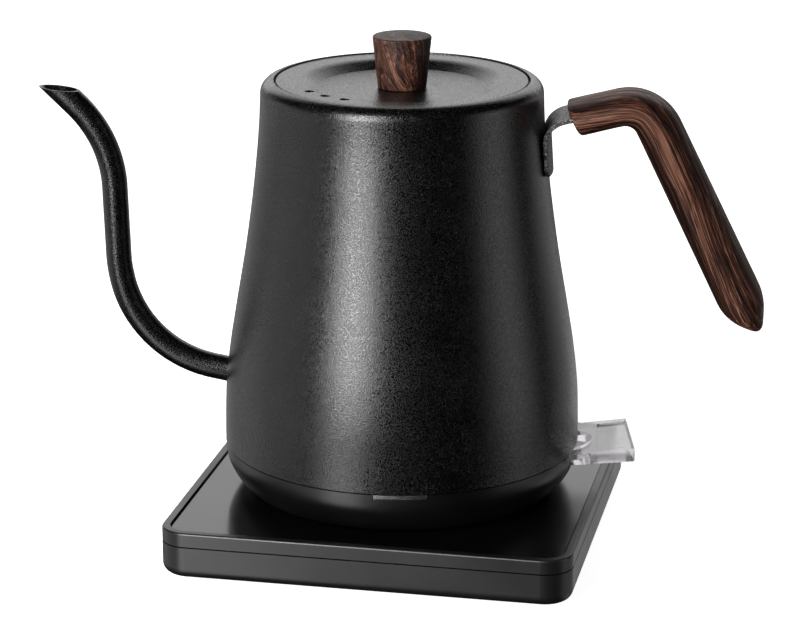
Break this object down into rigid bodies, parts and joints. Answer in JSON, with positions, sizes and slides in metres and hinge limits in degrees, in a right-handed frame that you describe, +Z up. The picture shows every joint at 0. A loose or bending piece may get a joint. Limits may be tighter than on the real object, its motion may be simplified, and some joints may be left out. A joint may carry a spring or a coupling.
{
  "type": "gooseneck electric kettle",
  "caption": "Cordless gooseneck electric kettle with wood grip and knob, lift-off lid, clear switch lever and a square power base.",
  "frame": {"origin": "on the kettle's axis, on the surface the base's feet stand on", "axes": "+X from the kettle's axis towards the handle, -X towards the spout, +Z up; the base is turned 7.6 degrees clockwise about +Z seen from above"},
  "size_m": [0.2845, 0.177, 0.2005],
  "materials": {
    "black_powder_coat": "matt black powder coat with a fine grain",
    "satin_black_plastic": "satin black moulding",
    "cup_black_plastic": "satin black moulding",
    "gloss_black_plastic": "polished black panel",
    "connector_plastic": "heat-resistant moulding",
    "white_plastic": "white moulding",
    "black_rubber": "soft matt",
    "silicone": "translucent grey silicone",
    "zinc_steel": "zinc plated",
    "contact_brass": "bright contact metal",
    "inner_steel": "bare stainless steel",
    "spreader_aluminium": "cast",
    "bimetal_strip": "rolled strip",
    "bright_strip": "bright strip",
    "lamp_glass": "small neon lamp",
    "clear_acrylic": "clear moulded acrylic",
    "bracket_black_paint": "rough dark painted steel",
    "dark_wood": "dark oiled walnut"
  },
  "bodies": {
    "base": {"base_lower_shell": "satin_black_plastic", "base_upper_shell": "satin_black_plastic", "base_top_plate": "gloss_black_plastic", "base_feet": "black_rubber", "base_screws": "zinc_steel", "base_connector": "connector_plastic", "base_outer_contact": "contact_brass", "base_inner_contact": "contact_brass", "base_pin_sleeve": "contact_brass", "base_terminal_block": "white_plastic", "terminal_screws": "zinc_steel", "cord_gland": "black_rubber"},
    "coupler": {"coupler_carrier": "connector_plastic", "coupler_pin": "contact_brass", "coupler_inner_ring": "contact_brass", "coupler_outer_ring": "contact_brass"},
    "kettle": {"vessel_shell": "black_powder_coat", "vessel_floor": "inner_steel", "spout_tube": "black_powder_coat", "heat_spreader": "spreader_aluminium", "heating_element": "inner_steel", "thermostat_control": "connector_plastic", "dry_boil_discs": "bimetal_strip", "steam_tube": "inner_steel", "steam_tube_grommet": "silicone", "bimetal_carrier": "connector_plastic", "steam_bimetal": "bimetal_strip", "bottom_cup": "cup_black_plastic", "seam_strip": "bright_strip", "cup_seal": "silicone", "cup_screws": "zinc_steel", "indicator_lamp": "lamp_glass", "lever_pin": "zinc_steel", "rocker_pin": "zinc_steel", "handle_bracket": "bracket_black_paint", "handle_grip": "dark_wood", "grip_screws": "zinc_steel"},
    "lever": {"switch_lever": "clear_acrylic"},
    "rocker": {"trip_rocker": "white_plastic"},
    "lid_seal": {"lid_gasket": "silicone"},
    "lid": {"lid_top": "black_powder_coat", "lid_inner_cap": "inner_steel", "lid_knob": "dark_wood", "knob_washer": "zinc_steel", "knob_screw": "zinc_steel"}
  },
  "joints": [
    {"name": "kettle_lift", "type": "slide", "parent": "base", "child": "coupler", "axis": [0, 0, 1], "range_m": [0, 0.06]},
    {"name": "kettle_swivel", "type": "hinge", "parent": "coupler", "child": "kettle", "pos_m": [0, 0, 0.03], "axis": [0, 0, 1], "continuous": true},
    {"name": "lever_press", "type": "hinge", "parent": "kettle", "child": "lever", "pos_m": [0.052, 0, 0.0346], "axis": [0, 1, 0], "range_deg": [0, 8]},
    {"name": "rocker_trip", "type": "hinge", "parent": "kettle", "child": "rocker", "pos_m": [0.0325, 0, 0.0362], "axis": [0, 1, 0], "range_deg": [-13.2, 0]},
    {"name": "lid_lift", "type": "slide", "parent": "kettle", "child": "lid_seal", "axis": [0, 0, 1], "range_m": [0, 0.04]},
    {"name": "lid_turn", "type": "hinge", "parent": "lid_seal", "child": "lid", "pos_m": [0, 0, 0.1812], "axis": [0, 0, 1], "continuous": true}
  ],
  "couplings": [
    {"joint": "rocker_trip", "follows": "lever_press", "ratio": -1.6}
  ]
}
